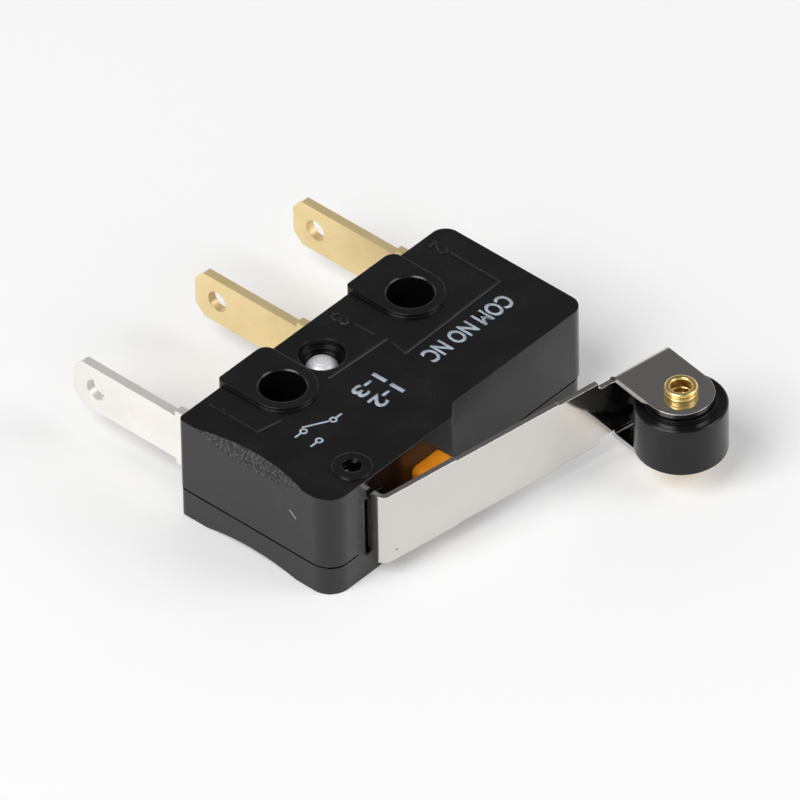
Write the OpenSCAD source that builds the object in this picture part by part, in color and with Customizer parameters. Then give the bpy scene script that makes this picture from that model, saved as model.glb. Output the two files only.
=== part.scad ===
// Subminiature snap-action switch with a hinged roller lever, lying on its cover side.
// Millimetres. The origin is on the axis of the mounting hole nearest the common
// terminal, at the cover's outer face. +X runs along the case, +Y towards the terminals,
// +Z through the thickness.

/* [Case] */
// Length of the case
case_l = 19.8; // [19.4:0.1:21]
// Width of the case, from the terminal side to the raised lever side
case_w = 10.2; // [10:0.1:10.8]
// Thickness of the case over its pads
case_t = 6.4; // [6.3:0.1:7]
// Thickness of the cover, up to the parting plane
cover_t = 1.8; // [1.7:0.05:2]
// Thickness of the cover's floor
floor_t = 0.8; // [0.6:0.05:1]
// Thickness of the case's top wall
top_wall = 0.85; // [0.6:0.05:0.95]
// Thickness of the side walls
side_wall = 0.9; // [0.7:0.05:1]
// How much lower the case is beyond the plunger
step_h = 0.7; // [0.4:0.05:0.8]
// Distance of the step from the common end
step_from_end = 9; // [8.7:0.1:10]
// Length of the step's slope
step_run = 0.85; // [0.3:0.05:1.2]
// Corner radius between the common end and the lever side
hinge_corner_r = 1.2; // [0.6:0.1:1.3]
// Corner radius of the two far corners
far_corner_r = 0.85; // [0.4:0.05:1.2]
// Corner radius between the common end and the terminal side
near_corner_r = 0.3; // [0.1:0.05:0.6]
// How far the cover lies inside the case's outline
cover_in = 0.02; // [0.01:0.01:0.08]
// How much further inside it lies at the far end
cover_far_in = 0.1; // [0:0.01:0.2]
// Depth of the groove along the parting plane
groove_in = 0.14; // [0.05:0.01:0.2]
// Height of the groove along the parting plane
groove_h = 0.13; // [0.05:0.01:0.2]
// Half length of the scoop along the case's end edge
scoop_half_l = 3.6; // [3:0.1:4]
// Depth of the scoop on the case
scoop_d = 0.42; // [0.2:0.02:0.5]
// Half length of the scoop along the cover's end edge
cover_scoop_half_l = 3.1; // [2.5:0.1:3.5]
// Depth of the scoop on the cover
cover_scoop_d = 0.27; // [0.1:0.01:0.3]
// Distance of both scoops' middle from the terminal side
scoop_from_side = 4.8; // [4.5:0.1:5]

/* [Mounting holes] */
// Distance between the two mounting holes
hole_pitch = 9.5; // [9.4:0.05:9.8]
// Diameter of the mounting holes
hole_d = 2.4; // [2.1:0.05:2.6]
// Distance of the first hole from the common end
hole_from_end = 5.1; // [5:0.05:5.3]
// Distance of the hole line from the terminal side
hole_from_side = 2.4; // [2.3:0.05:2.6]
// Half width of the raised pad round a hole
pad_r = 1.77; // [1.6:0.01:1.85]
// Height of the pads above the case
pad_h = 0.2; // [0.05:0.05:0.25]
// How far the pads stand out of the terminal side
pad_out = 0.4; // [0.1:0.05:0.5]
// Larger corner radius of a pad
pad_corner_r = 0.6; // [0.3:0.05:0.9]
// Smaller corner radius of a pad
pad_edge_r = 0.25; // [0.1:0.05:0.4]
// Chamfer at the mouth of a mounting hole
hole_chamfer = 0.08; // [0.02:0.01:0.12]
// Wall round a mounting hole inside the chamber
boss_wall = 0.7; // [0.5:0.05:0.8]

/* [Case rivet] */
// Distance of the rivet from the first hole, along the case
rivet_x = 3.2; // [3.1:0.05:3.4]
// Distance of the rivet from the hole line
rivet_y = 0.27; // [0.1:0.01:0.4]
// Radius of the recess round the rivet's head
recess_r = 1.22; // [1.1:0.02:1.3]
// Depth of the recess below the case's face
recess_d = 0.75; // [0.6:0.05:0.8]
// Radius of the rivet's formed head
rivet_head_r = 0.82; // [0.7:0.02:0.95]
// Height of the formed head
rivet_head_h = 0.45; // [0.3:0.05:0.6]
// Radius of the rivet's shank
rivet_r = 0.5; // [0.4:0.02:0.6]
// Radius of the rivet's flat head on the cover
rivet_foot_r = 1.1; // [0.9:0.05:1.2]
// Thickness of the flat head
rivet_foot_h = 0.3; // [0.2:0.05:0.4]

/* [Terminals] */
// Thickness of the terminal sheet
tab_t = 0.5; // [0.4:0.05:0.5]
// Width of a terminal tab
tab_w = 2.8; // [2.6:0.05:2.8]
// Length of a tab outside the case
tab_l = 8.45; // [7:0.05:9]
// Distance of the common terminal from the common end
com_from_end = 1.65; // [1.55:0.05:1.7]
// Distance from the common to the normally open terminal
com_to_no = 9; // [8.8:0.05:9.1]
// Distance from the normally open to the normally closed terminal
no_to_nc = 7.35; // [7.2:0.05:7.5]
// Diameter of the hole in a tab
tab_hole_d = 1.2; // [1:0.05:1.4]
// Distance of the tab's hole from its end
tab_hole_end = 1.5; // [1.4:0.05:1.8]
// Length and height of the cut corners at a tab's end
tab_chamfer = [0.6, 0.62];
// Length of a tab's shoulder
shoulder_l = 1.5; // [0.8:0.1:2]
// Height of a tab's shoulder
shoulder_h = 0.32; // [0.1:0.02:0.35]

/* [Contacts] */
// Travel of the moving contact between the fixed contacts
contact_gap = 0.5; // [0.4:0.02:0.6]
// Radius of the contacts
contact_r = 0.75; // [0.6:0.05:0.85]
// Height of each face of the moving contact above the blade
contact_h = 0.4; // [0.3:0.02:0.45]
// Height of the fixed contacts above their terminals
fixed_h = 0.2; // [0.15:0.01:0.25]
// Radius of the contact shanks
shank_r = 0.35; // [0.25:0.05:0.45]
// Distance from the blade's pivot to the moving contact
blade_arm = 12.1; // [11.8:0.05:12.4]
// Thickness of the snap blade
blade_t = 0.12; // [0.08:0.01:0.15]
// Width of the snap blade
blade_w = 3; // [2.6:0.1:3.2]
// Width of the spring tongue in the blade
tongue_w = 1; // [0.8:0.05:1.2]
// Width of each side arm of the blade
arm_w = 0.75; // [0.6:0.05:0.8]
// Width of the common terminal's post, on which the blade pivots
post_w = 1.8; // [1.4:0.1:2]
// Distance of the common terminal's arm from the first hole's boss
com_arm_gap = 0.08; // [0.05:0.01:0.12]
// Height of the blade's anchor above the blade's pivot
anchor_rise = 0.65; // [0.5:0.05:0.8]
// Width of the blade's anchor
anchor_w = 1.6; // [1.2:0.1:2]
// Length of solid blade from the pivot to the window
window_from_pivot = 2.2; // [1.8:0.1:2.5]
// Length of solid blade from the window to the moving contact
window_to_contact = 1.9; // [1.5:0.1:2.2]
// Height of the bow in the blade's tongue
tongue_bow = 0.18; // [0.1:0.02:0.25]

/* [Plunger] */
// Distance of the plunger from the common end
plunger_from_end = 7.1; // [7:0.05:7.25]
// Length of the plunger along the case
plunger_l = 2.15; // [1.9:0.05:2.2]
// Width of the plunger through the thickness
plunger_w = 3.1; // [2.8:0.1:3.2]
// Radius of the plunger's crown
plunger_crown_r = 1.3; // [1.2:0.05:2]
// Radius along the plunger's long edges
plunger_edge_r = 0.35; // [0.1:0.05:0.5]
// Side overhang of the flange that keeps the plunger in
flange_out = 0.5; // [0.3:0.05:0.6]
// Thickness of the flange
flange_t = 0.55; // [0.4:0.05:0.65]
// Length of the plunger's foot along the case
foot_l = 1.1; // [0.8:0.05:1.2]
// Distance of the foot's edge from the plunger's middle
foot_from_mid = 0.8; // [0.6:0.05:0.9]
// Depth of the guide that the plunger slides in
guide_d = 1.5; // [1.3:0.05:1.6]

/* [Lever] */
// Thickness of the lever sheet
lever_t = 0.3; // [0.25:0.01:0.35]
// Tilt of the lever in its free position, in degrees
lever_tilt = 8.7; // [8.2:0.1:9]
// How much wider the lever is at its root than over its ears, on each side
root_extra = 0.15; // [0.1:0.01:0.2]
// How much wider it is behind the plunger, on each side
mid_extra = 0.07; // [0.02:0.01:0.09]
// Length of the lever at its root width
root_l = 4.9; // [4:0.1:5.5]
// Length of the lever up to its narrowest plate width
mid_l = 11.5; // [10.5:0.1:12]
// Distance of the hinge from the common end
hinge_from_end = 2.95; // [2.85:0.05:3.1]
// Depth of the hinge below the lever side
hinge_d = 1.2; // [1.1:0.05:1.3]
// Distance from the hinge to the lever's outer face
lever_off = 2.16; // [2.1:0.02:2.3]
// Outer radius of the bend at the lever's foot
root_bend_r = 0.55; // [0.45:0.05:0.7]
// Length of the lever's foot beyond the hinge
foot_beyond = 0.45; // [0.43:0.01:0.55]
// Distance from the hinge to the roller's axis, along the lever
roller_u = 16.77; // [16:0.01:17.2]
// Distance from the lever's outer face to the roller's axis
roller_v = 3.14; // [2.9:0.02:3.3]
// Distance from the middle of an ear's round end to the roller's axis
ear_hole_out = 0.1; // [0:0.01:0.15]
// Half width of an ear
ear_r = 1.77; // [1.6:0.05:1.9]
// Outer radius of the bend at an ear
ear_bend_r = 0.5; // [0.4:0.02:0.55]
// Length of the relief notch beside the ears
notch_l = 0.95; // [0.5:0.05:1.2]
// Depth of the relief notch
notch_d = 0.4; // [0.2:0.05:0.5]
// Corner radius of the relief notch
notch_r = 0.25; // [0.1:0.05:0.35]
// Width of a hinge lug
lug_w = 0.84; // [0.7:0.02:0.88]
// Length of a hinge lug
lug_l = 0.85; // [0.6:0.05:0.95]
// Diameter of the lugs' sockets
socket_d = 1; // [0.98:0.01:1.1]

/* [Roller] */
// Diameter of the roller
roller_d = 4.76; // [4:0.02:5.2]
// Width of the roller over its hub
roller_hub_w = 3.2; // [2.9:0.05:3.4]
// Height of the hub faces above the rim
hub_rise = 0.15; // [0.05:0.01:0.25]
// Broken edge along the rim
rim_chamfer = 0.08; // [0.03:0.01:0.15]
// Clearance between the roller and each ear
roller_side_gap = 0.1; // [0.05:0.01:0.15]
// Radius of the raised hub faces
roller_hub_r = 1.82; // [1.5:0.02:2]
// Radius of the axle
axle_r = 0.8; // [0.7:0.02:0.85]
// Radial clearance of the roller on its axle
roller_fit = 0.04; // [0.02:0.01:0.08]
// Radius of the hole through the axle
axle_bore_r = 0.52; // [0.4:0.01:0.55]
// Height of the collar above the upper ear
collar_h = 0.52; // [0.45:0.01:0.7]
// Outer radius of the collar's rolled rim
collar_r = 0.86; // [0.84:0.01:0.9]
// Radius of the collar's neck, between the rim and the foot
neck_r = 0.77; // [0.7:0.01:0.8]
// Radius of the bead round the collar's foot
foot_bead_r = 0.07; // [0.05:0.01:0.09]
// Radius of the formed head under the lower ear
axle_head_r = 1.25; // [1.1:0.05:1.4]
// Thickness of the formed head
axle_head_h = 0.4; // [0.3:0.05:0.45]
// Radius of the turned grooves inside the axle
bore_groove_r = 0.06; // [0.03:0.01:0.08]

/* [Clearances] */
// Clearance of sliding and turning pieces
fit = 0.05; // [0.03:0.01:0.06]
// Clearance of pieces that rest against each other
seat = 0.02; // [0.01:0.01:0.03]

/* [Hidden] */
$fn = 72;
over = 1; // how far a cut runs past the solid it opens

black_plastic = [0.12, 0.12, 0.13];
brass = [0.85, 0.74, 0.5];
silver_plate = [0.88, 0.87, 0.85];
steel = [0.78, 0.77, 0.75];
contact_silver = [0.9, 0.9, 0.9];
orange_plastic = [0.9, 0.5, 0.05];
gold_brass = [0.85, 0.68, 0.3];

// planes of the case
com_end = -hole_from_end;
far_end = case_l - hole_from_end;
term_side = hole_from_side;
lever_side = term_side - case_w;
step_side = lever_side + step_h;
step_x = com_end + step_from_end;
case_top = case_t - pad_h;
chamber_top = case_top - top_wall;
mech_z = cover_t + tab_w / 2; // middle plane of the tabs, the blade and the lever

// terminals, contacts and blade
com_x = com_end + com_from_end;
no_x = com_x + com_to_no;
nc_x = no_x + no_to_nc;
boss_r = hole_d / 2 + boss_wall;
shank_hole_r = shank_r + seat;
nc_arm_y = step_side + side_wall;
nc_face_y = nc_arm_y + tab_t + fixed_h;
tilt_gap = 0.05; // room for the moving contact's tilt at the fixed contacts
contact_y = nc_face_y + tilt_gap + contact_h + blade_t / 2;
pivot_y = contact_y + 0.9 * contact_gap;
blade_tilt = asin((pivot_y - contact_y) / blade_arm);
contact_x = com_x + blade_arm * cos(blade_tilt);
no_face_y = contact_y + contact_gap + blade_t / 2 + contact_h + tilt_gap / 2;
no_arm_y = no_face_y + fixed_h;
com_arm_y = -boss_r - com_arm_gap - tab_t;
com_arm_w = tab_w - 0.6;
nose_y = pivot_y + blade_t / 2 + seat + tab_t / 2; // middle of the post's rounded end
arm_end = contact_r + 0.25; // how far the fixed contacts' arms run past the contact

// plunger
plunger_x = com_end + plunger_from_end;
guide_y = lever_side + guide_d;
flange_y = guide_y + seat;
foot_x0 = plunger_x - foot_from_mid;
foot_reach = blade_y(foot_x0) - blade_t / 2 - fit;
anchor_x = foot_x0 + foot_l + 0.3;
anchor_top = pivot_y + anchor_rise;
tongue_end = anchor_x + tab_t + seat;

// lever
pivot = [com_end + hinge_from_end, lever_side + hinge_d];
bend_x = root_bend_r - lever_t / 2;
bend_y = -(lever_off - root_bend_r + sin(lever_tilt) * bend_x) / cos(lever_tilt);
plate_start = bend_x * cos(lever_tilt) - bend_y * sin(lever_tilt);
lever_w = roller_hub_w + 2 * (lever_t + roller_side_gap);
lever_root_w = lever_w + 2 * root_extra;
lever_mid_w = lever_w + 2 * mid_extra;
ear_start = roller_u - ear_r;
notch_start = ear_start - notch_l;
roller_out = lever_off + roller_v;
ear_out = roller_out - ear_hole_out;
ear_top = mech_z + lever_w / 2;
foot_w = lever_w - 0.5; // width of the lever's foot inside its slot
slot_x0 = pivot.x - lever_t / 2 - fit;
slot_x1 = pivot.x + 0.75;
slot_round = 0.4;
pocket_y = pivot.y - 0.4;
pocket_end = pivot.y + foot_beyond + 0.25;
pocket_x0 = pivot.x - 0.8;
pocket_x1 = pivot.x + 0.95;
hinge_block_end = pocket_end + 0.45;
ring_r = 1; // raised ring over the upper hinge socket
ring_h = 0.1;
interlock_x0 = pivot.x - 0.95; // tongue of the cover beside the lever's slot
interlock_top = cover_t + 1.25;
scoop_y = term_side - scoop_from_side;
drum_l = 2 * tab_w; // length of the drum that cuts a scoop

// height of the blade's middle line above a place along the case
function blade_y(x) = pivot_y - (x - com_x) * tan(blade_tilt);

// nib that a rounded corner leaves out, for a corner at the origin of the +x +y quadrant
module corner_nib(r) {
    difference() {
        translate([-over, -over]) square(r + over);
        translate([r, r]) circle(r);
    }
}

module rounded_rect(w, h, r) {
    square([w - 2 * r, h], center = true);
    square([w, h - 2 * r], center = true);
    for (x = [r - w / 2, w / 2 - r], y = [r - h / 2, h / 2 - r])
        translate([x, y]) circle(r);
}

// outline of the case, drawn inwards by inset, and further at the far end
module outline(inset = 0, far_in = 0) {
    x0 = com_end + inset;
    x1 = far_end - inset - far_in;
    y0 = lever_side + inset;
    y1 = step_side + inset;
    y2 = term_side - inset;
    difference() {
        polygon([[x0, y2], [x0, y0], [step_x, y0], [step_x + step_run, y1], [x1, y1], [x1, y2]]);
        translate([x0, y0]) corner_nib(hinge_corner_r - inset);
        translate([x0, y2]) mirror([0, 1]) corner_nib(max(near_corner_r - inset, 0.02));
        translate([x1, y1]) mirror([1, 0]) corner_nib(far_corner_r - inset);
        translate([x1, y2]) rotate(180) corner_nib(far_corner_r - inset);
    }
}

// pad round a mounting hole: round towards the lever, square towards the terminals
module pad_outline() {
    difference() {
        union() {
            circle(pad_r);
            translate([-pad_r, 0]) square([2 * pad_r, term_side + pad_out]);
        }
        translate([pad_r, term_side + pad_out]) rotate(180) corner_nib(pad_corner_r);
        translate([-pad_r, term_side + pad_out]) mirror([0, 1]) corner_nib(pad_edge_r);
    }
}

module at_holes() {
    for (x = [0, hole_pitch])
        translate([x, 0]) children();
}

// chamber inside the case and the cover
module chamber_outline() {
    x0 = com_end + side_wall;
    x1 = far_end - side_wall;
    y2 = term_side - side_wall;
    difference() {
        polygon([
            [x0, y2], [x0, hinge_block_end], [pocket_x1 + 0.4, hinge_block_end],
            [pocket_x1 + 0.4, guide_y], [step_x + step_run, guide_y],
            [step_x + step_run, nc_arm_y], [x1, nc_arm_y], [x1, y2]
        ]);
        at_holes() {
            circle(boss_r);
            translate([-boss_r, 0]) square([2 * boss_r, term_side]);
        }
        translate([rivet_x, rivet_y]) {
            circle(recess_r + 0.25);
            translate([-recess_r, 0]) square([2 * recess_r, term_side]);
        }
    }
}

// slot for the lever's foot, with a rounded outer edge and a pocket round the hinge
module slot_outline() {
    translate([slot_x0, lever_side - over])
        square([slot_x1 - slot_x0, pocket_y - lever_side + over + seat]);
    translate([pocket_x0, pocket_y]) square([pocket_x1 - pocket_x0, pocket_end - pocket_y]);
    translate([slot_x0, lever_side]) mirror([1, 0]) corner_nib(slot_round);
}

module lever_slot(z0, z1) {
    translate([0, 0, z0]) linear_extrude(z1 - z0) slot_outline();
}

// terminal slots in the terminal-side wall, open at the parting plane
module terminal_slots() {
    for (x = [com_x, no_x, nc_x])
        translate([x - tab_t / 2 - seat, term_side - side_wall - over, cover_t - over])
            cube([tab_t + 2 * seat, side_wall + 2 * over, tab_w + seat + over]);
}

// bar with the plunger's section along y, grown by a clearance
module plunger_bar(y0, y1, grow) {
    translate([plunger_x, y1, mech_z])
        rotate([90, 0, 0])
            linear_extrude(y1 - y0)
                rounded_rect(plunger_l + 2 * grow, plunger_w + 2 * grow, plunger_edge_r + grow);
}

// mounting holes through both halves, with a chamfer at a mouth
module hole_cuts(mouth_z) {
    at_holes() {
        translate([0, 0, -over]) cylinder(h = case_t + 2 * over, d = hole_d);
        translate([0, 0, mouth_z - hole_chamfer])
            cylinder(h = 2 * hole_chamfer, r1 = hole_d / 2, r2 = hole_d / 2 + 2 * hole_chamfer);
    }
}

// shallow scoop along an edge of the common end, cut by a wide drum laid at 45 degrees
module edge_scoop(z, half_l, depth, side) {
    drum_r = (half_l * half_l + depth * depth) / (2 * depth);
    reach = (drum_r - depth) / sqrt(2);
    translate([com_end - reach, scoop_y, z + side * reach])
        rotate([0, side * 45, 0])
            cylinder(h = drum_l, r = drum_r, center = true, $fn = 180);
}

module case() {
    color(black_plastic)
        difference() {
            union() {
                translate([0, 0, cover_t]) linear_extrude(case_top - cover_t) outline();
                translate([0, 0, cover_t]) linear_extrude(case_t - cover_t) at_holes() pad_outline();
                translate([pivot.x, pivot.y, case_top - seat])
                    cylinder(h = ring_h + seat, r = ring_r);
            }
            translate([0, 0, cover_t - over])
                linear_extrude(chamber_top - cover_t + over) chamber_outline();
            hole_cuts(case_t);
            rivet_seat();
            terminal_slots();
            plunger_bar(lever_side - over, guide_y + over, fit);
            lever_slot(cover_t - over, mech_z + foot_w / 2 + fit);
            translate([pivot.x, pivot.y, mech_z]) cylinder(h = case_t, d = socket_d);
            translate([interlock_x0 - seat, lever_side - over, cover_t - over])
                cube([slot_x0 - interlock_x0 + 2 * seat, side_wall + over, interlock_top - cover_t + seat + over]);
            edge_scoop(case_top, scoop_half_l, scoop_d, 1);
        }
}

module rivet_seat() {
    translate([rivet_x, rivet_y, 0]) {
        translate([0, 0, case_top - recess_d]) cylinder(h = recess_d + over, r = recess_r - 0.17);
        translate([0, 0, case_top - recess_d * 0.6]) cylinder(h = recess_d + over, r = recess_r);
        translate([0, 0, -over]) cylinder(h = case_t + over, r = rivet_r + seat);
        translate([0, 0, -over]) cylinder(h = over + rivet_foot_h + seat, r = rivet_foot_r + fit);
    }
}

module cover() {
    color(black_plastic)
        difference() {
            union() {
                linear_extrude(cover_t) outline(cover_in + groove_in, cover_far_in);
                linear_extrude(cover_t - groove_h) outline(cover_in, cover_far_in);
                linear_extrude(cover_t) at_holes() pad_outline();
                translate([interlock_x0, lever_side + cover_in, 0])
                    cube([slot_x0 - interlock_x0, side_wall - cover_in - fit, interlock_top]);
            }
            translate([0, 0, floor_t]) linear_extrude(cover_t - floor_t + over) chamber_outline();
            at_holes() translate([0, 0, -over]) cylinder(h = case_t, d = hole_d);
            rivet_seat();
            plunger_bar(lever_side - over, guide_y + over, fit);
            lever_slot(mech_z - foot_w / 2 - fit, case_t);
            translate([pivot.x, pivot.y, mech_z - foot_w / 2 - lug_l - fit])
                cylinder(h = case_t, d = socket_d);
            edge_scoop(0, cover_scoop_half_l, cover_scoop_d, -1);
        }
}

// rivet that holds the cover to the case: a flat foot, a shank and a domed formed head
module case_rivet() {
    head_z = case_top - recess_d;
    dome_r = (rivet_head_r * rivet_head_r + rivet_head_h * rivet_head_h) / (2 * rivet_head_h);
    color(steel)
        translate([rivet_x, rivet_y, 0]) {
            cylinder(h = rivet_foot_h, r = rivet_foot_r);
            cylinder(h = head_z + seat, r = rivet_r);
            translate([0, 0, head_z])
                rotate_extrude()
                    intersection() {
                        translate([0, rivet_head_h - dome_r]) circle(dome_r);
                        square([rivet_head_r, rivet_head_h]);
                    }
        }
}

// outline of a terminal's tab and its stem in the case, drawn as y and z
module tab_outline(stem_end) {
    y1 = term_side + tab_l;
    h = tab_w / 2;
    difference() {
        union() {
            polygon([
                [stem_end, -h], [y1 - tab_chamfer.x, -h], [y1, tab_chamfer.y - h],
                [y1, h - tab_chamfer.y], [y1 - tab_chamfer.x, h], [stem_end, h]
            ]);
            translate([term_side + pad_out + seat, -h - shoulder_h])
                square([shoulder_l - pad_out, tab_w + 2 * shoulder_h]);
        }
        translate([y1 - tab_hole_end, 0]) circle(d = tab_hole_d);
    }
}

module terminal_blank(x, stem_end) {
    translate([x - tab_t / 2, 0, mech_z])
        rotate([90, 0, 90]) linear_extrude(tab_t) tab_outline(stem_end);
}

// arm bent off a terminal's stem, from its outer edge to a place along the case
module terminal_arm(x0, x1, y, w) {
    translate([x0, y, mech_z - w / 2]) cube([x1 - x0, tab_t, w]);
}

module common_terminal() {
    color(silver_plate) {
        terminal_blank(com_x, com_arm_y);
        // narrow post with a rounded end, on which the blade rocks
        translate([com_x - tab_t / 2, nose_y, mech_z - post_w / 2])
            cube([tab_t, com_arm_y - nose_y + tab_t, post_w]);
        translate([com_x, nose_y, mech_z - post_w / 2]) cylinder(h = post_w, d = tab_t);
        terminal_arm(com_x - tab_t / 2, anchor_x + tab_t, com_arm_y, com_arm_w);
        translate([anchor_x, anchor_top, mech_z - anchor_w / 2])
            cube([tab_t, com_arm_y - anchor_top + tab_t, anchor_w]);
    }
}

module normally_open_terminal() {
    color(brass)
        difference() {
            union() {
                terminal_blank(no_x, no_arm_y);
                terminal_arm(no_x - tab_t / 2, contact_x + arm_end, no_arm_y, tab_w);
            }
            contact_hole(no_arm_y);
        }
}

module normally_closed_terminal() {
    color(brass)
        difference() {
            union() {
                terminal_blank(nc_x, nc_arm_y);
                terminal_arm(contact_x - arm_end, nc_x + tab_t / 2, nc_arm_y, tab_w);
            }
            contact_hole(nc_arm_y);
        }
}

module contact_hole(y) {
    translate([contact_x, y - over, mech_z])
        rotate([-90, 0, 0]) cylinder(h = tab_t + 2 * over, r = shank_hole_r);
}

// rivet contact: a face and a shank, drawn along +y from the face
module rivet_contact(face_h, shank_l) {
    rotate([-90, 0, 0]) {
        cylinder(h = face_h, r = contact_r);
        cylinder(h = face_h + shank_l, r = shank_r);
    }
}

module normally_open_contact() {
    color(contact_silver)
        translate([contact_x, no_face_y, mech_z]) rivet_contact(fixed_h, tab_t);
}

module normally_closed_contact() {
    color(contact_silver)
        translate([contact_x, nc_face_y, mech_z]) mirror([0, 1, 0]) rivet_contact(fixed_h, tab_t);
}

// frame of the blade: x along it from the pivot, y its thickness, z its width
module blade_frame() {
    translate([com_x, pivot_y, mech_z]) rotate(-blade_tilt) children();
}

module snap_blade() {
    window_x0 = window_from_pivot;
    window_x1 = blade_arm - contact_r - window_to_contact;
    blade_end = blade_arm + contact_r + 0.2;
    tip = [tongue_end - com_x, anchor_top + 0.15 - blade_y(tongue_end)];
    root = [window_x1 + 0.1, 0];
    chord = norm(tip - root);
    bow_r = (chord * chord / 4 + tongue_bow * tongue_bow) / (2 * tongue_bow);
    mid = (tip + root) / 2;
    up = [root.y - tip.y, tip.x - root.x] / chord;
    centre = mid - up * (bow_r - tongue_bow);
    color(gold_brass)
        blade_frame() {
            difference() {
                translate([-0.35, -blade_t / 2, -blade_w / 2])
                    cube([blade_end + 0.35, blade_t, blade_w]);
                translate([window_x0, -blade_t, arm_w - blade_w / 2])
                    cube([window_x1 - window_x0, 2 * blade_t, blade_w - 2 * arm_w]);
                translate([blade_arm, -blade_t, 0])
                    rotate([-90, 0, 0]) cylinder(h = 2 * blade_t, r = shank_hole_r);
            }
            // bowed tongue that presses on the common terminal's anchor
            translate([0, 0, -tongue_w / 2])
                linear_extrude(tongue_w)
                    intersection() {
                        translate(centre)
                            difference() {
                                circle(bow_r + blade_t / 2, $fn = 180);
                                circle(bow_r - blade_t / 2, $fn = 180);
                            }
                        translate([tip.x, -2]) square([root.x - tip.x, 4]);
                    }
        }
}

module moving_contact() {
    color(contact_silver)
        blade_frame()
            translate([blade_arm, 0, 0])
                rotate([-90, 0, 0]) {
                    cylinder(h = blade_t + 2 * contact_h, r = shank_r, center = true);
                    for (side = [0, 180])
                        rotate([side, 0, 0])
                            translate([0, 0, blade_t / 2]) cylinder(h = contact_h, r = contact_r);
                }
}

// plunger: a crowned stem, a flange behind the guide and a foot on the blade
module plunger() {
    crown_y = plunger_top();
    color(orange_plastic) {
        intersection() {
            plunger_bar(crown_y - over, flange_y + seat, 0);
            translate([plunger_x, 0, 0])
                linear_extrude(case_t) {
                    translate([0, crown_y + plunger_crown_r]) circle(plunger_crown_r);
                    translate([-plunger_crown_r, crown_y + plunger_crown_r])
                        square([2 * plunger_crown_r, flange_y - crown_y]);
                }
        }
        translate([plunger_x - plunger_l / 2 - flange_out, flange_y, mech_z - plunger_w / 2])
            cube([plunger_l + 2 * flange_out, flange_t, plunger_w]);
        translate([foot_x0, flange_y, mech_z - plunger_w / 2 + 0.25])
            cube([foot_l, foot_reach - flange_y, plunger_w - 0.5]);
    }
}

// height of the plunger's crown where the free lever just clears it
function plunger_top() =
    pivot.y - plunger_crown_r + seat
    + (-(plunger_x - pivot.x) * sin(lever_tilt) + plunger_crown_r - lever_off + lever_t) / cos(lever_tilt);

// frame of the lever: x along its plate, -y out of its outer face, origin at the hinge
module lever_frame() {
    translate(pivot) rotate(-lever_tilt) children();
}

// foot in the slot, with a hinge lug at each end, and the bend up to the plate
module lever_foot() {
    wide_end = -hinge_d - 0.15;
    wedge = [for (a = [0, 180, 220, 270 - lever_tilt]) a == 0 ? [0, 0] : 2 * root_bend_r * [cos(a), sin(a)]];
    translate(pivot) {
        translate([0, 0, mech_z - lever_root_w / 2])
            linear_extrude(lever_root_w) {
                translate([bend_x, bend_y])
                    intersection() {
                        difference() {
                            circle(root_bend_r);
                            circle(root_bend_r - lever_t);
                        }
                        polygon(wedge);
                    }
                translate([-lever_t / 2, bend_y]) square([lever_t, wide_end - bend_y]);
            }
        translate([-lever_t / 2, wide_end - seat, mech_z - foot_w / 2])
            cube([lever_t, foot_beyond - wide_end + seat, foot_w]);
        translate([-lever_t / 2, -lug_w / 2, mech_z - foot_w / 2 - lug_l])
            cube([lever_t, lug_w, foot_w + 2 * lug_l]);
    }
}

// flat plate up to the ears: it narrows in two small steps and then at the relief notches
module lever_plate() {
    translate([0, lever_t - lever_off, mech_z])
        rotate([90, 0, 0])
            linear_extrude(lever_t)
                difference() {
                    for (s = [[root_l, lever_root_w], [mid_l, lever_mid_w], [ear_start, lever_w]])
                        translate([plate_start, -s[1] / 2]) square([s[0] - plate_start, s[1]]);
                    for (side = [0, 1])
                        mirror([0, side])
                            translate([notch_start, lever_w / 2 - notch_d])
                                difference() {
                                    square([notch_l + over, notch_d + over]);
                                    corner_nib(notch_r);
                                }
                }
}

// yoke: the plate between the ears, the two bends and the two round-ended ears
module lever_yoke() {
    inner = lever_off - lever_t;
    straight = lever_w / 2 - ear_bend_r;
    translate([ear_start, 0, mech_z])
        rotate([90, 0, 90])
            linear_extrude(2 * ear_r) {
                translate([-lever_off, -straight]) square([lever_t, 2 * straight]);
                for (side = [0, 1])
                    mirror([0, side])
                        translate([-inner - ear_bend_r, straight])
                            intersection() {
                                difference() {
                                    circle(ear_bend_r);
                                    circle(ear_bend_r - lever_t);
                                }
                                square(ear_bend_r);
                            }
            }
    for (z = [ear_top - lever_t, mech_z - lever_w / 2])
        translate([0, 0, z])
            linear_extrude(lever_t) {
                translate([ear_start, -ear_out]) square([2 * ear_r, ear_out - inner - ear_bend_r]);
                translate([roller_u, -ear_out]) circle(ear_r);
            }
}

module lever() {
    color(steel)
        difference() {
            union() {
                lever_foot();
                lever_frame() {
                    lever_plate();
                    lever_yoke();
                }
            }
            lever_frame()
                translate([roller_u, -roller_out, -over]) cylinder(h = case_t + 2 * over, r = axle_r + seat);
        }
}

module at_roller() {
    lever_frame() translate([roller_u, -roller_out, mech_z]) children();
}

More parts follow.
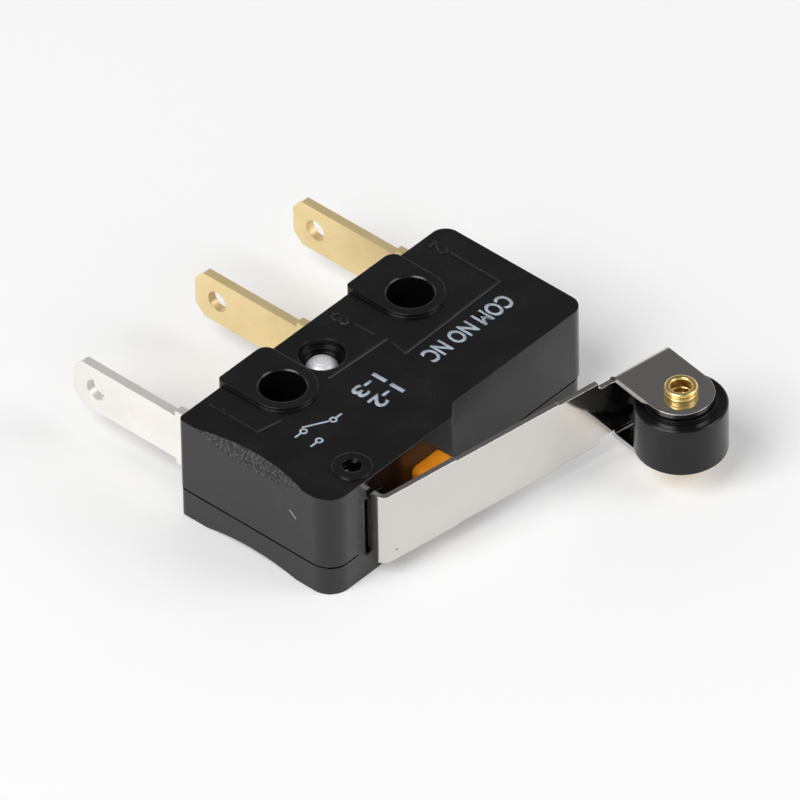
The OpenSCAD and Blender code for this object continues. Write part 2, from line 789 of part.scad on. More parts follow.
// hollow axle: a formed head below, a shaft through the ears and a rolled collar above
module roller_axle() {
    ear_z = lever_w / 2;
    rim_r = (collar_r - axle_bore_r) / 2;
    rim_z = ear_z + collar_h - rim_r;
    color(gold_brass)
        at_roller()
            rotate_extrude()
                difference() {
                    union() {
                        translate([0, -ear_z - axle_head_h]) square([axle_r, 2 * ear_z + axle_head_h + seat]);
                        translate([0, -ear_z - axle_head_h]) square([axle_head_r, axle_head_h - seat]);
                        translate([0, ear_z]) square([neck_r, rim_z - ear_z]);
                        translate([axle_bore_r + rim_r, rim_z]) circle(rim_r, $fn = 48);
                        translate([neck_r, ear_z + seat + foot_bead_r]) circle(foot_bead_r, $fn = 32);
                    }
                    translate([-over, -case_t]) square([over + axle_bore_r, 2 * case_t]);
                    for (z = [rim_z - 2.5 * rim_r, rim_z - 4.5 * rim_r])
                        translate([axle_bore_r, z]) circle(bore_groove_r, $fn = 32);
                }
}

// roller: a rim with broken edges and a raised hub face on each side
module roller() {
    r = roller_d / 2;
    hub = roller_hub_w / 2;
    rim = hub - hub_rise;
    edge = rim_chamfer;
    bore = axle_r + roller_fit;
    color(black_plastic)
        at_roller()
            rotate_extrude($fn = 120)
                polygon([
                    [bore, -hub], [roller_hub_r, -hub], [roller_hub_r, -rim], [r - edge, -rim], [r, edge - rim],
                    [r, rim - edge], [r - edge, rim], [roller_hub_r, rim], [roller_hub_r, hub], [bore, hub]
                ]);
}

case();
cover();
case_rivet();
common_terminal();
normally_open_terminal();
normally_closed_terminal();
normally_open_contact();
normally_closed_contact();
snap_blade();
moving_contact();
plunger();
lever();
roller_axle();
roller();
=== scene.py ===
# Lever micro switch: finishes, moulded marks, print and studio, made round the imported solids.
# Lengths in the settings are in mm, unless a note says otherwise.
import math
import bpy
import bmesh
from mathutils import Matrix, Vector


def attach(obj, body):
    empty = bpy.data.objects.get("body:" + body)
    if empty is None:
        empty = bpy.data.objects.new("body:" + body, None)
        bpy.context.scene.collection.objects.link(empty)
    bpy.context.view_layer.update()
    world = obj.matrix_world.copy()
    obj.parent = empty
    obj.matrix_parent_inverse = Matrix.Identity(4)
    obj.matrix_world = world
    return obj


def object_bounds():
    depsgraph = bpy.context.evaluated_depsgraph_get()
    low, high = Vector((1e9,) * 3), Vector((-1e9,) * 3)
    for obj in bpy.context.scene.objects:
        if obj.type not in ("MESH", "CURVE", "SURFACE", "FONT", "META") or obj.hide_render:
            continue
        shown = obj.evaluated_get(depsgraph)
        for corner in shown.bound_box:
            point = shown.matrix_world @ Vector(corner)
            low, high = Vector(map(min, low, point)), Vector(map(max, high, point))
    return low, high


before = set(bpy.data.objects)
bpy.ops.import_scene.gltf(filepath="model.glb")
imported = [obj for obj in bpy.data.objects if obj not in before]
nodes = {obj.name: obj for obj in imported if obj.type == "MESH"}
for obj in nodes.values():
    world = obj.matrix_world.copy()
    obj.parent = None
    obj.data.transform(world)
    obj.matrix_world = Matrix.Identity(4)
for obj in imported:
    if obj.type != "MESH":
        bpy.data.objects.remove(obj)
cadBox = [list(corner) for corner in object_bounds()]
mm = 0.001
scene = bpy.context.scene
print("switch: frame loaded,", len(nodes), "solids")


def newMaterial(name, colour, metal=0.0, rough=0.4):
    mat = bpy.data.materials.new(name)
    mat.use_nodes = True
    mat.diffuse_color = (*colour, 1.0)
    shader = mat.node_tree.nodes["Principled BSDF"]
    shader.inputs["Base Color"].default_value = (*colour, 1.0)
    shader.inputs["Metallic"].default_value = metal
    shader.inputs["Roughness"].default_value = rough
    return mat, mat.node_tree, shader


def addNode(tree, kind, **settings):
    # each setting goes to the input of that name, or else to the node's own property
    node = tree.nodes.new(kind)
    for key, value in settings.items():
        if key in node.inputs:
            node.inputs[key].default_value = value
        else:
            setattr(node, key, value)
    return node


def partCoords(tree, move=(0, 0, 0), stretch=(1, 1, 1), turn=(0, 0, 0)):
    # the part's own coordinates in mm, moved, then turned and stretched for the pattern
    coords = addNode(tree, "ShaderNodeTexCoord")
    inMm = addNode(tree, "ShaderNodeMapping", Scale=(1000, 1000, 1000), Location=tuple(-v for v in move))
    tree.links.new(coords.outputs["Object"], inMm.inputs["Vector"])
    pattern = addNode(tree, "ShaderNodeMapping", Scale=stretch, Rotation=turn)
    tree.links.new(inMm.outputs["Vector"], pattern.inputs["Vector"])
    return pattern.outputs["Vector"]


def facing(tree):
    # how far the surface looks along X, Y and Z, as three shares from 0 to 1
    coords = addNode(tree, "ShaderNodeTexCoord")
    split = addNode(tree, "ShaderNodeSeparateXYZ")
    tree.links.new(coords.outputs["Normal"], split.inputs[0])
    return [maths(tree, "ABSOLUTE", split.outputs[axis]) for axis in range(3)]


def noise(tree, coords, scale, detail=3.0, rough=0.55):
    node = addNode(tree, "ShaderNodeTexNoise", Scale=scale, Detail=detail, Roughness=rough)
    tree.links.new(coords, node.inputs["Vector"])
    return node.outputs["Fac"]


def spread(tree, value, low, high, fromLow=0.0, fromHigh=1.0):
    node = addNode(tree, "ShaderNodeMapRange")
    node.inputs["From Min"].default_value = fromLow
    node.inputs["From Max"].default_value = fromHigh
    node.inputs["To Min"].default_value = low
    node.inputs["To Max"].default_value = high
    tree.links.new(value, node.inputs["Value"])
    return node.outputs["Result"]


def dots(tree, coords, scale, inner, outer):
    # scattered specks: 1 in the middle of each, 0 outside
    node = addNode(tree, "ShaderNodeTexVoronoi", Scale=scale, Randomness=1.0)
    tree.links.new(coords, node.inputs["Vector"])
    return spread(tree, node.outputs["Distance"], 1.0, 0.0, inner, outer)


def maths(tree, what, first, second=None):
    node = addNode(tree, "ShaderNodeMath", operation=what)
    for socket, value in zip(node.inputs, (first, second)):
        if value is None:
            continue
        if isinstance(value, (int, float)):
            socket.default_value = value
        else:
            tree.links.new(value, socket)
    return node.outputs["Value"]


def blendColours(tree, share, first, second):
    node = addNode(tree, "ShaderNodeMix", data_type="RGBA")
    for socket, value in ((node.inputs[6], first), (node.inputs[7], second)):
        if isinstance(value, tuple):
            socket.default_value = (*value, 1.0)
        else:
            tree.links.new(value, socket)
    tree.links.new(share, node.inputs[0])
    return node.outputs[2]


def boxMask(tree, centre, half, soft, turn=(0, 0, 0)):
    # 1 inside a box of the part's own coordinates, falling to 0 over soft
    coords = partCoords(tree, move=centre, turn=turn)
    split = addNode(tree, "ShaderNodeSeparateXYZ")
    tree.links.new(coords, split.inputs[0])
    mask = None
    for axis in range(3):
        side = maths(tree, "ABSOLUTE", split.outputs[axis])
        inside = spread(tree, side, 1.0, 0.0, half[axis] - soft, half[axis] + soft)
        mask = inside if mask is None else maths(tree, "MULTIPLY", mask, inside)
    return mask


def surfaceNormal(tree, shader, heights, edge):
    # heights: (value, height, strength); edge: the small radius that catches light
    last = None
    if edge:
        last = addNode(tree, "ShaderNodeBevel", samples=6, Radius=edge * mm).outputs["Normal"]
    for value, height, strength in heights:
        bump = addNode(tree, "ShaderNodeBump", Strength=strength, Distance=height * mm)
        tree.links.new(value, bump.inputs["Height"])
        if last is not None:
            tree.links.new(last, bump.inputs["Normal"])
        last = bump.outputs["Normal"]
    if last is not None:
        tree.links.new(last, shader.inputs["Normal"])


# the two moulded halves: glossy black, two rough scoops, dust and one scratch
mouldedCase = {
    "colour": (0.0035, 0.0034, 0.0042),
    "worn": (0.009, 0.0088, 0.0098),
    "rubbed": (0.085, 0.084, 0.088),      # pale grains of the rough scoops
    "scratched": (0.42, 0.41, 0.40),
    "lowRough": 0.16,
    "highRough": 0.27,
    "scoopRough": 0.25,                   # added in the scoops
    "dustRough": 0.25,                    # added on specks of dust
    "edge": 0.07,
    "scoopAt": (-5.0, -2.4, 2.4),
    "scoopHalf": (0.9, 3.8, 4.0),
    "scratchAt": (-5.1, -5.26, 4.26),
    "scratchHalf": (0.4, 0.28, 0.03),
    "scratchLean": -42,                   # degrees
    "ior": 1.5,
}


def mouldedPlastic(name, seed):
    case = mouldedCase
    mat, tree, shader = newMaterial(name, case["colour"])
    coords = partCoords(tree, move=(seed, 0, 0))
    cloud = noise(tree, coords, 0.35)
    grain = noise(tree, coords, 9.0, 4.0, 0.6)
    dust = dots(tree, coords, 2.6, 0.030, 0.055)

    # a scoop is where a slanted face lies on the end of the case
    aside, _, upward = facing(tree)
    scoop = boxMask(tree, case["scoopAt"], case["scoopHalf"], 0.1)
    for share in (aside, upward):
        scoop = maths(tree, "MULTIPLY", scoop, spread(tree, share, 0.0, 1.0, 0.12, 0.22))
    salt = spread(tree, noise(tree, coords, 8.0, 3.0, 0.7), 0.0, 1.0, 0.46, 0.60)
    scratch = boxMask(tree, case["scratchAt"], case["scratchHalf"], 0.02,
                      turn=(math.radians(case["scratchLean"]), 0, 0))

    rough = spread(tree, cloud, case["lowRough"], case["highRough"], 0.3, 0.7)
    for more in (spread(tree, grain, -0.02, 0.05, 0.3, 0.7),
                 maths(tree, "MULTIPLY", scoop, case["scoopRough"]),
                 maths(tree, "MULTIPLY", dust, case["dustRough"])):
        rough = maths(tree, "ADD", rough, more)
    tree.links.new(rough, shader.inputs["Roughness"])

    pale = maths(tree, "MAXIMUM", maths(tree, "MULTIPLY", dust, 0.5),
                 spread(tree, cloud, 0.0, 0.35, 0.45, 0.75))
    colour = blendColours(tree, pale, case["colour"], case["worn"])
    colour = blendColours(tree, maths(tree, "MULTIPLY", scoop, salt), colour, case["rubbed"])
    colour = blendColours(tree, scratch, colour, case["scratched"])
    tree.links.new(colour, shader.inputs["Base Color"])

    ripple = noise(tree, coords, 1.1, 2.0, 0.5)
    pits = maths(tree, "MULTIPLY", noise(tree, coords, 5.0, 5.0, 0.7), scoop)
    heights = [(ripple, 0.02, 0.35), (grain, 0.004, 0.35), (pits, 0.10, 0.8), (scratch, 0.03, 0.6)]
    surfaceNormal(tree, shader, heights, case["edge"])
    shader.inputs["IOR"].default_value = case["ior"]
    return mat


casePlastic = mouldedPlastic("casePlastic", 0.0)
coverPlastic = mouldedPlastic("coverPlastic", 31.0)
print("switch: case plastic made")


# rolled sheet: grain is the stretch of the rolling lines, cutEdge makes blanked edges duller
leverSheet = {
    "colour": (0.615, 0.592, 0.565), "dull": (0.60, 0.577, 0.552), "rough": 0.09, "streak": 0.01,
    "grain": (0.25, 0.25, 2.5), "edge": 0.05, "speck": 0.02, "cutEdge": 0.0,
    "flawAt": (-1.49, -8.89, 1.67), "flawHalf": (0.05, 0.3, 0.05), "flaw": (0.05, 0.045, 0.04),
}
silverTab = {
    "colour": (0.93, 0.91, 0.87), "dull": (0.87, 0.84, 0.78), "rough": 0.13, "streak": 0.03,
    "grain": (1.0, 0.3, 2.5), "edge": 0.04, "speck": 0.03, "cutEdge": 0.32,
}
brassTab = {
    "colour": (0.90, 0.72, 0.40), "dull": (0.84, 0.65, 0.33), "rough": 0.13, "streak": 0.03,
    "grain": (1.0, 0.3, 2.5), "edge": 0.04, "speck": 0.03, "cutEdge": 0.32,
}
bladeStrip = {
    "colour": (0.78, 0.50, 0.28), "dull": (0.70, 0.42, 0.22), "rough": 0.24, "streak": 0.02,
    "grain": (0.3, 1.0, 2.5), "edge": 0.02, "speck": 0.0, "cutEdge": 0.0,
}
contactFace = {
    "colour": (0.86, 0.86, 0.85), "dull": (0.76, 0.76, 0.74), "rough": 0.25, "streak": 0.02,
    "grain": (1.0, 1.0, 1.0), "edge": 0.02, "speck": 0.0, "cutEdge": 0.0,
}


def sheetMetal(name, sheet):
    mat, tree, shader = newMaterial(name, sheet["colour"], 1.0, sheet["rough"])
    lines = noise(tree, partCoords(tree, stretch=sheet["grain"]), 6.0, 4.0, 0.6)
    soft = noise(tree, partCoords(tree, move=(7, 3, 1)), 0.55)
    streaked = spread(tree, lines, sheet["rough"] - sheet["streak"], sheet["rough"] + sheet["streak"], 0.3, 0.7)
    rough = maths(tree, "ADD", streaked, spread(tree, soft, 0.0, 0.02, 0.4, 0.7))
    if sheet["cutEdge"]:
        aside, _, _ = facing(tree)   # the rolled faces look along X, the blanked edges don't
        rough = maths(tree, "ADD", rough, spread(tree, aside, sheet["cutEdge"], 0.0, 0.5, 0.8))
        tree.links.new(spread(tree, aside, 0.6, 1.0, 0.5, 0.8), shader.inputs["Metallic"])
    tree.links.new(rough, shader.inputs["Roughness"])
    tint = spread(tree, soft, 0.0, 1.0, 0.32, 0.72)
    if sheet["speck"]:
        specks = dots(tree, partCoords(tree, move=(2, 5, 9)), 1.1, sheet["speck"], sheet["speck"] * 1.8)
        tint = maths(tree, "MAXIMUM", tint, specks)
    colour = blendColours(tree, tint, sheet["colour"], sheet["dull"])
    if "flawAt" in sheet:
        flaw = boxMask(tree, sheet["flawAt"], sheet["flawHalf"], 0.02)
        colour = blendColours(tree, flaw, colour, sheet["flaw"])
    tree.links.new(colour, shader.inputs["Base Color"])
    surfaceNormal(tree, shader, [(lines, 0.002, 0.25)], sheet["edge"])
    return mat


leverSteel = sheetMetal("leverSteel", leverSheet)
tabSilver = sheetMetal("tabSilver", silverTab)
tabBrass = sheetMetal("tabBrass", brassTab)
springCopper = sheetMetal("springCopper", bladeStrip)
contactSilver = sheetMetal("contactSilver", contactFace)


# turned metal: rings about an upright axis
rivetHead = {
    "colour": (0.97, 0.97, 0.98), "dull": (0.72, 0.73, 0.75), "rough": 0.50, "metal": 0.5,
    "axis": (3.2, 0.27), "rings": 1.6, "ringHeight": 0.012, "edge": 0.04,
}
hollowAxle = {
    "colour": (0.86, 0.66, 0.29), "dull": (0.72, 0.48, 0.13), "rough": 0.30, "metal": 1.0,
    "axis": (13.6254, -14.3757), "rings": 2.4, "ringHeight": 0.006, "edge": 0.03,
}


def turnedMetal(name, piece):
    mat, tree, shader = newMaterial(name, piece["colour"], piece["metal"], piece["rough"])
    coords = partCoords(tree, move=(*piece["axis"], 0))
    rings = addNode(tree, "ShaderNodeTexWave", wave_type="RINGS", rings_direction="Z",
                    Scale=piece["rings"], Distortion=0.6, Detail=2.0)
    rings.inputs["Detail Scale"].default_value = 3.0
    tree.links.new(coords, rings.inputs["Vector"])
    patches = noise(tree, coords, 3.0)
    rough = spread(tree, patches, piece["rough"] - 0.05, piece["rough"] + 0.10, 0.3, 0.7)
    tree.links.new(rough, shader.inputs["Roughness"])
    tint = maths(tree, "MULTIPLY", spread(tree, patches, 0.2, 1.0, 0.35, 0.7), rings.outputs["Fac"])
    tree.links.new(blendColours(tree, tint, piece["colour"], piece["dull"]), shader.inputs["Base Color"])
    heights = [(rings.outputs["Fac"], piece["ringHeight"], 0.5), (patches, 0.01, 0.3)]
    surfaceNormal(tree, shader, heights, piece["edge"])
    return mat


rivetSteel = turnedMetal("rivetSteel", rivetHead)
axleBrass = turnedMetal("axleBrass", hollowAxle)
print("switch: metals made")


pushButton = {
    "colour": (0.90, 0.31, 0.008), "deep": (0.80, 0.25, 0.006),
    "lowRough": 0.28, "highRough": 0.42, "edge": 0.05,
    "glow": 0.08, "glowReach": (0.6, 0.2, 0.05),   # light that passes a little way in
}


def buttonPlastic():
    mat, tree, shader = newMaterial("buttonPlastic", pushButton["colour"])
    coords = partCoords(tree)
    cloud = noise(tree, coords, 1.2)
    grain = noise(tree, coords, 14.0)
    deeper = spread(tree, cloud, 0.0, 1.0, 0.35, 0.7)
    colour = blendColours(tree, deeper, pushButton["colour"], pushButton["deep"])
    tree.links.new(colour, shader.inputs["Base Color"])
    rough = spread(tree, grain, pushButton["lowRough"], pushButton["highRough"], 0.3, 0.7)
    tree.links.new(rough, shader.inputs["Roughness"])
    surfaceNormal(tree, shader, [(grain, 0.006, 0.4)], pushButton["edge"])
    shader.inputs["Subsurface Weight"].default_value = pushButton["glow"]
    shader.inputs["Subsurface Radius"].default_value = [reach * mm for reach in pushButton["glowReach"]]
    shader.inputs["Subsurface Scale"].default_value = 1.0
    return mat


rollerWheel = {
    "colour": (0.0035, 0.0034, 0.004), "rubbed": (0.010, 0.0098, 0.011),
    "axis": (13.6254, -14.3757), "lowRough": 0.20, "highRough": 0.30, "dustRough": 0.2,
    "edge": 0.06, "ior": 1.38,
}


def rollerPlastic():
    # faint turning lines round the running face, a few pale rubbed specks
    mat, tree, shader = newMaterial("rollerPlastic", rollerWheel["colour"])
    middle = (*rollerWheel["axis"], 0)
    lines = noise(tree, partCoords(tree, move=middle, stretch=(0.25, 0.25, 5.0)), 5.0, 4.0)
    coords = partCoords(tree, move=middle)
    cloud = noise(tree, coords, 0.7)
    dust = dots(tree, coords, 1.7, 0.03, 0.06)
    pale = maths(tree, "MAXIMUM", spread(tree, cloud, 0.0, 0.4, 0.4, 0.7), dust)
    colour = blendColours(tree, pale, rollerWheel["colour"], rollerWheel["rubbed"])
    tree.links.new(colour, shader.inputs["Base Color"])
    rough = maths(tree, "ADD", spread(tree, cloud, rollerWheel["lowRough"], rollerWheel["highRough"], 0.3, 0.7),
                  maths(tree, "MULTIPLY", dust, rollerWheel["dustRough"]))
    tree.links.new(rough, shader.inputs["Roughness"])
    surfaceNormal(tree, shader, [(lines, 0.004, 0.3)], rollerWheel["edge"])
    shader.inputs["IOR"].default_value = rollerWheel["ior"]
    return mat


finishes = {
    "case": casePlastic,
    "cover": coverPlastic,
    "case_rivet": rivetSteel,
    "common_terminal": tabSilver,
    "normally_open_terminal": tabBrass,
    "normally_closed_terminal": tabBrass,
    "normally_open_contact": contactSilver,
    "normally_closed_contact": contactSilver,
    "moving_contact": contactSilver,
    "snap_blade": springCopper,
    "plunger": buttonPlastic(),
    "lever": leverSteel,
    "roller_axle": axleBrass,
    "roller": rollerPlastic(),
}
for nodeName, mat in finishes.items():
    mesh = nodes[nodeName].data
    mesh.materials.clear()
    mesh.materials.append(mat)
print("switch: every solid has its finish")


# moulded lines and figures on the top face
topMarks = {
    "width": 0.15, "height": 0.07, "sink": 0.02,
    "figureHeight": 0.95, "figureWidth": 0.5, "figureLine": 0.85,   # share of the line's width
    "lines": [
        [(-3.3, 0.57), (-3.3, -1.28), (-1.92, -1.56)],
        [(2.06, -1.23), (6.14, -1.4)],
        [(6.11, -1.84), (5.93, -2.83)],
        [(5.97, 0.5), (6.02, -0.67)],
        [(13.2, 0.55), (13.16, -2.68), (5.93, -2.83)],
    ],
    "figures": {"1": (-3.3, 1.36), "3": (5.78, 1.39), "2": (13.1, 1.29)},
}
caseTop = 6.2                   # top face between the pads
ribShape = [(-0.5, 0.35), (-0.3, 0.8), (0.0, 1.0), (0.3, 0.8), (0.5, 0.35)]   # across and up, as shares
figureStrokes = {               # on a field 1 wide and 1 high
    "1": [[(0.2, 0.78), (0.55, 1.0), (0.55, 0.0)]],
    "2": [[(0.05, 0.78), (0.22, 0.96), (0.55, 1.0), (0.86, 0.86), (0.88, 0.62), (0.6, 0.36), (0.05, 0.0),
           (0.95, 0.0)]],
    "3": [[(0.08, 0.84), (0.35, 1.0), (0.7, 0.98), (0.9, 0.78), (0.72, 0.56), (0.4, 0.52)],
          [(0.5, 0.52), (0.85, 0.42), (0.92, 0.2), (0.68, 0.02), (0.32, 0.0), (0.05, 0.16)]],
}


def pieceFrom(bm, name, mat):
    # a finished piece of the top face, riding on the housing
    bmesh.ops.recalc_face_normals(bm, faces=bm.faces)
    mesh = bpy.data.meshes.new(name)
    bm.to_mesh(mesh)
    bm.free()
    mesh.materials.append(mat)
    piece = bpy.data.objects.new(name, mesh)
    scene.collection.objects.link(piece)
    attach(piece, "housing")
    return piece


def ribAlong(bm, points, width):
    # a low rib with a rounded back along an open line, its ends closed and a little longer
    foot = -topMarks["sink"] / topMarks["height"]
    shape = [(-0.5, foot), *ribShape, (0.5, foot)]
    points = [Vector(point) for point in points]
    last = len(points) - 1
    rows = []
    for i, here in enumerate(points):
        into = (here - points[i - 1]).normalized() if i else (points[1] - here).normalized()
        out = (points[i + 1] - here).normalized() if i < last else into
        side = Vector((-into.y, into.x))
        mitre = (side + Vector((-out.y, out.x))).normalized()
        grow = 1.0 / max(0.5, mitre.dot(side))
        reach = {0: -into, last: out}.get(i, Vector((0, 0))) * width * 0.35
        row = []
        for across, up in shape:
            place = here + reach + mitre * across * width * grow
            row.append(bm.verts.new((place.x * mm, place.y * mm, (caseTop + up * topMarks["height"]) * mm)))
        rows.append(row)
    for a, b in zip(rows, rows[1:]):
        for k in range(len(shape)):
            n = (k + 1) % len(shape)
            bm.faces.new((a[k], a[n], b[n], b[k]))
    bm.faces.new(rows[0])
    bm.faces.new(list(reversed(rows[-1])))


def makeTopMarks():
    bm = bmesh.new()
    for line in topMarks["lines"]:
        ribAlong(bm, line, topMarks["width"])
    for figure, (cx, cy) in topMarks["figures"].items():
        for stroke in figureStrokes[figure]:
            # figures read towards -X, with their tops towards -Y
            placed = [(cx - (u - 0.5) * topMarks["figureWidth"], cy - (v - 0.5) * topMarks["figureHeight"])
                      for u, v in stroke]
            ribAlong(bm, placed, topMarks["width"] * topMarks["figureLine"])
    pieceFrom(bm, "topRelief", casePlastic)


makeTopMarks()
print("switch: moulded marks made")


# pale print on the top face: terminal words, the two contact pairs and a contact diagram
topPrint = {
    "ink": (0.44, 0.53, 0.60),
    "thin": (0.20, 0.25, 0.29),
    "thickness": 0.006,
    "sink": 0.004,
    "bold": 0.022,               # share of the type's size
    "words": [
        {"piece": "printRow", "text": "COM NO NC", "height": 1.06, "start": (12.55, -3.36), "end": (6.4, -3.36)},
        {"piece": "printBlock1", "text": "1-3", "height": 0.9, "start": (3.9, -2.62), "end": (2.0, -2.62)},
        {"piece": "printBlock2", "text": "1-2", "height": 0.9, "start": (3.9, -3.82), "end": (2.0, -3.82)},
    ],
}
contactDiagram = {
    "at": (-1.05, -3.5), "grow": 1.25, "line": 0.11, "ring": 0.13, "ringSides": 24,
    "rings": [(0.75, 0.0), (-0.55, 0.42), (-0.55, -0.42)],
    "bars": [((1.25, 0.0), (0.93, 0.0)), ((0.58, 0.07), (-0.42, 0.62)),
             ((-0.73, 0.42), (-1.05, 0.42)), ((-0.73, -0.42), (-1.05, -0.42))],
}
inkTop = caseTop + topPrint["thickness"]
inkFoot = caseTop - topPrint["sink"]


def printInk():
    # ink that lies a little thin in places
    mat, tree, shader = newMaterial("printInk", topPrint["ink"])
    cover = noise(tree, partCoords(tree), 7.0, 4.0, 0.65)
    thin = spread(tree, cover, 0.0, 1.0, 0.45, 0.75)
    tree.links.new(blendColours(tree, thin, topPrint["ink"], topPrint["thin"]), shader.inputs["Base Color"])
    tree.links.new(spread(tree, cover, 0.5, 0.7, 0.3, 0.7), shader.inputs["Roughness"])
    surfaceNormal(tree, shader, [(cover, 0.004, 0.4)], 0)
    return mat


inkMaterial = printInk()


def printWords(line):
    # type laid on the top face from start to end
    name = line["piece"] + "Type"
    curve = bpy.data.curves.new(name, "FONT")
    curve.body = line["text"]
    curve.size = 1.0
    curve.offset = topPrint["bold"]
    curve.resolution_u = 4
    temp = bpy.data.objects.new(name, curve)
    scene.collection.objects.link(temp)
    bpy.context.view_layer.update()
    flat = bpy.data.meshes.new_from_object(temp.evaluated_get(bpy.context.evaluated_depsgraph_get()))
    bpy.data.objects.remove(temp)
    bpy.data.curves.remove(curve)
    xs = [v.co.x for v in flat.vertices]
    ys = [v.co.y for v in flat.vertices]
    bm = bmesh.new()
    bm.from_mesh(flat)
    bpy.data.meshes.remove(flat)
    bmesh.ops.remove_doubles(bm, verts=bm.verts, dist=1e-5)
    start = Vector(line["start"])
    along = Vector(line["end"]) - start
    across = Vector((-along.y, along.x)).normalized()
    for v in bm.verts:
        u = (v.co.x - min(xs)) / (max(xs) - min(xs))
        w = (v.co.y - min(ys)) / (max(ys) - min(ys))
        place = start + along * u + across * (w * line["height"])
        v.co = Vector((place.x, place.y, inkTop)) * mm
    made = bmesh.ops.extrude_face_region(bm, geom=bm.faces[:])
    for v in made["geom"]:
        if isinstance(v, bmesh.types.BMVert):
            v.co.z = inkFoot * mm
    pieceFrom(bm, line["piece"], inkMaterial)


def inkWall(bm, rings, closed):
    # skins a run of equal rings of points, each ring a list of (x, y, z)
    rows = [[bm.verts.new(Vector(point) * mm) for point in ring] for ring in rings]
    pairs = list(zip(rows, rows[1:]))
    if closed:
        pairs.append((rows[-1], rows[0]))
    for a, b in pairs:
        for k in range(len(a)):
            n = (k + 1) % len(a)
            bm.faces.new((a[k], a[n], b[n], b[k]))
    if not closed:
        bm.faces.new(rows[0])
        bm.faces.new(list(reversed(rows[-1])))


def printDiagram():
    # a changeover contact in plain lines: three rings, the arm and the leads
    grow, half = contactDiagram["grow"], contactDiagram["line"] / 2
    middle = Vector(contactDiagram["at"])
    count = contactDiagram["ringSides"]
    radii = [contactDiagram["ring"] * grow + half, contactDiagram["ring"] * grow - half]
    bm = bmesh.new()
    for spot in contactDiagram["rings"]:
        centre = middle + Vector(spot) * grow
        outer, inner = ([(centre.x + radius * math.cos(math.tau * k / count),
                          centre.y + radius * math.sin(math.tau * k / count)) for k in range(count)]
                        for radius in radii)
        inkWall(bm, [[(x, y, z) for x, y in ring] for ring, z in
                     ((outer, inkTop), (inner, inkTop), (inner, inkFoot), (outer, inkFoot))], True)
    for first, second in contactDiagram["bars"]:
        a, b = middle + Vector(first) * grow, middle + Vector(second) * grow
        side = Vector((-(b - a).y, (b - a).x)).normalized() * half
        corners = [a + side, b + side, b - side, a - side]
        inkWall(bm, [[(c.x, c.y, z) for c in corners] for z in (inkTop, inkFoot)], False)
    pieceFrom(bm, "printDiagram", inkMaterial)


for words in topPrint["words"]:
    printWords(words)
printDiagram()
print("switch: print made")


# floor, world and lamps; places and sizes of the lamps are in metres, powers in watts
studio = {
    "floorColour": (0.86, 0.86, 0.86),
    "floorHalf": 3.0,       # metres
    "floorGap": 0.02,       # under the lowest point of the part
    "floorLift": 0.18,      # added where the camera sees the floor
    "glossLift": 0.28,      # added where gloss reflects it
    "sky": [(0.0, 1.0), (0.22, 1.0), (0.42, 0.38), (0.58, 0.17), (1.0, 0.14)],   # height and level
    "lamps": [
        {"name": "keyPanel", "at": (-0.42, 0.02, 0.50), "size": 0.42, "power": 3.0},
        {"name": "fillPanel", "at": (0.30, -0.45, 0.42), "size": 0.36, "power": 1.25},
    ],
    "lampAim": (0.005, -0.003, 0.003),
}


def floorFinish():
    # matte, lifted towards white for the camera and for gloss, and clear from below
    mat = bpy.data.materials.new("paleFloor")
    mat.use_nodes = True
    tree = mat.node_tree
    tree.nodes.clear()
    path = addNode(tree, "ShaderNodeLightPath")
    gloss = maths(tree, "MAXIMUM", path.outputs["Is Glossy Ray"], path.outputs["Is Transmission Ray"])
    seen = maths(tree, "MULTIPLY", path.outputs["Is Camera Ray"], studio["floorLift"])
    seen = maths(tree, "ADD", seen, maths(tree, "MULTIPLY", gloss, studio["glossLift"]))
    matte = addNode(tree, "ShaderNodeBsdfDiffuse", Color=(*studio["floorColour"], 1.0))
    lift = addNode(tree, "ShaderNodeEmission", Color=(1, 1, 1, 1))
    tree.links.new(seen, lift.inputs["Strength"])
    both = addNode(tree, "ShaderNodeAddShader")
    tree.links.new(matte.outputs[0], both.inputs[0])
    tree.links.new(lift.outputs[0], both.inputs[1])
    final = addNode(tree, "ShaderNodeMixShader")
    tree.links.new(addNode(tree, "ShaderNodeNewGeometry").outputs["Backfacing"], final.inputs[0])
    tree.links.new(both.outputs[0], final.inputs[1])
    tree.links.new(addNode(tree, "ShaderNodeBsdfTransparent").outputs[0], final.inputs[2])
    out = addNode(tree, "ShaderNodeOutputMaterial")
    tree.links.new(final.outputs[0], out.inputs["Surface"])
    return mat


def makeFloor():
    bm = bmesh.new()
    bmesh.ops.create_grid(bm, x_segments=8, y_segments=8, size=studio["floorHalf"])
    mesh = bpy.data.meshes.new("studioFloor")
    bm.to_mesh(mesh)
    bm.free()
    mesh.materials.append(floorFinish())
    floor = bpy.data.objects.new("studioFloor", mesh)
    scene.collection.objects.link(floor)
    floor.location.z = cadBox[0][2] - studio["floorGap"] * mm


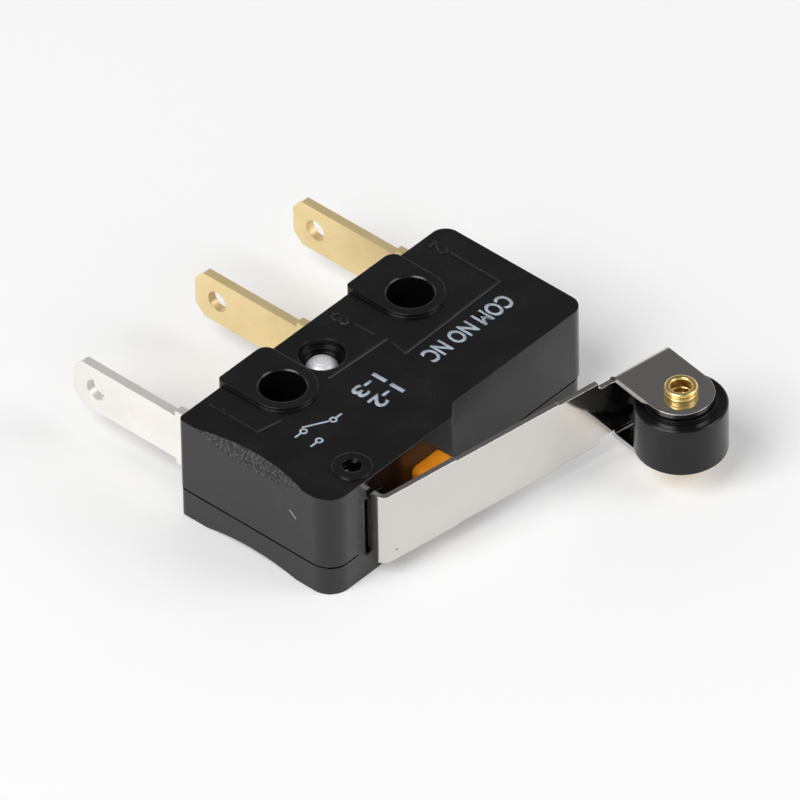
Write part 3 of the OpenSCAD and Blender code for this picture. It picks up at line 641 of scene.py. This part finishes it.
def makeWorld():
    # white near the horizon and dim overhead; plain white where the camera looks past the floor
    world = bpy.data.worlds.new("studioWorld")
    scene.world = world
    world.use_nodes = True
    tree = world.node_tree
    tree.nodes.clear()
    split = addNode(tree, "ShaderNodeSeparateXYZ")
    tree.links.new(addNode(tree, "ShaderNodeTexCoord").outputs["Generated"], split.inputs[0])
    ramp = addNode(tree, "ShaderNodeValToRGB")
    while len(ramp.color_ramp.elements) < len(studio["sky"]):
        ramp.color_ramp.elements.new(0.5)
    for element, (height, level) in zip(ramp.color_ramp.elements, studio["sky"]):
        element.position = height
        element.color = (level, level, level * 1.01, 1.0)
    tree.links.new(split.outputs[2], ramp.inputs["Fac"])
    sky = addNode(tree, "ShaderNodeBackground", Strength=1.0)
    tree.links.new(ramp.outputs["Color"], sky.inputs["Color"])
    white = addNode(tree, "ShaderNodeBackground", Color=(1, 1, 1, 1), Strength=1.0)
    mix = addNode(tree, "ShaderNodeMixShader")
    tree.links.new(addNode(tree, "ShaderNodeLightPath").outputs["Is Camera Ray"], mix.inputs[0])
    tree.links.new(sky.outputs[0], mix.inputs[1])
    tree.links.new(white.outputs[0], mix.inputs[2])
    out = addNode(tree, "ShaderNodeOutputWorld")
    tree.links.new(mix.outputs[0], out.inputs["Surface"])


def makeLamps():
    aim = Vector(studio["lampAim"])
    for lamp in studio["lamps"]:
        data = bpy.data.lights.new(lamp["name"], "AREA")
        data.shape = "SQUARE"
        data.size = lamp["size"]
        data.energy = lamp["power"]
        panel = bpy.data.objects.new(lamp["name"], data)
        scene.collection.objects.link(panel)
        panel.location = lamp["at"]
        panel.rotation_euler = (aim - Vector(lamp["at"])).to_track_quat("-Z", "Y").to_euler()
        panel.visible_camera = False


makeFloor()
makeWorld()
makeLamps()
scene.view_settings.view_transform = "Standard"
print("switch: studio made")


cameraSet = {
    "azimuth": -47.311, "elevation": 40.768, "roll": -1.076,   # degrees
    "aim": (4.8, -2.5, 3.2), "right": 0.72, "up": 0.40, "distance": 853.66,
    "lens": 769.9, "sensor": 36.0,
}


def makeCamera():
    a, e, r = (math.radians(cameraSet[key]) for key in ("azimuth", "elevation", "roll"))
    back = Vector((math.sin(a) * math.cos(e), -math.cos(a) * math.cos(e), math.sin(e)))
    right = Vector((math.cos(a), math.sin(a), 0.0))
    up = back.cross(right)
    right, up = math.cos(r) * right + math.sin(r) * up, -math.sin(r) * right + math.cos(r) * up
    data = bpy.data.cameras.new("studioCamera")
    data.sensor_width = cameraSet["sensor"]
    data.lens = cameraSet["lens"]
    data.clip_start, data.clip_end = 0.01, 20.0
    camera = bpy.data.objects.new("studioCamera", data)
    scene.collection.objects.link(camera)
    place = (Vector(cameraSet["aim"]) + cameraSet["right"] * right + cameraSet["up"] * up
             + cameraSet["distance"] * back) * mm
    camera.matrix_world = Matrix.Translation(place) @ Matrix((right, up, back)).transposed().to_4x4()
    scene.camera = camera


makeCamera()

print("switch: scene ready")
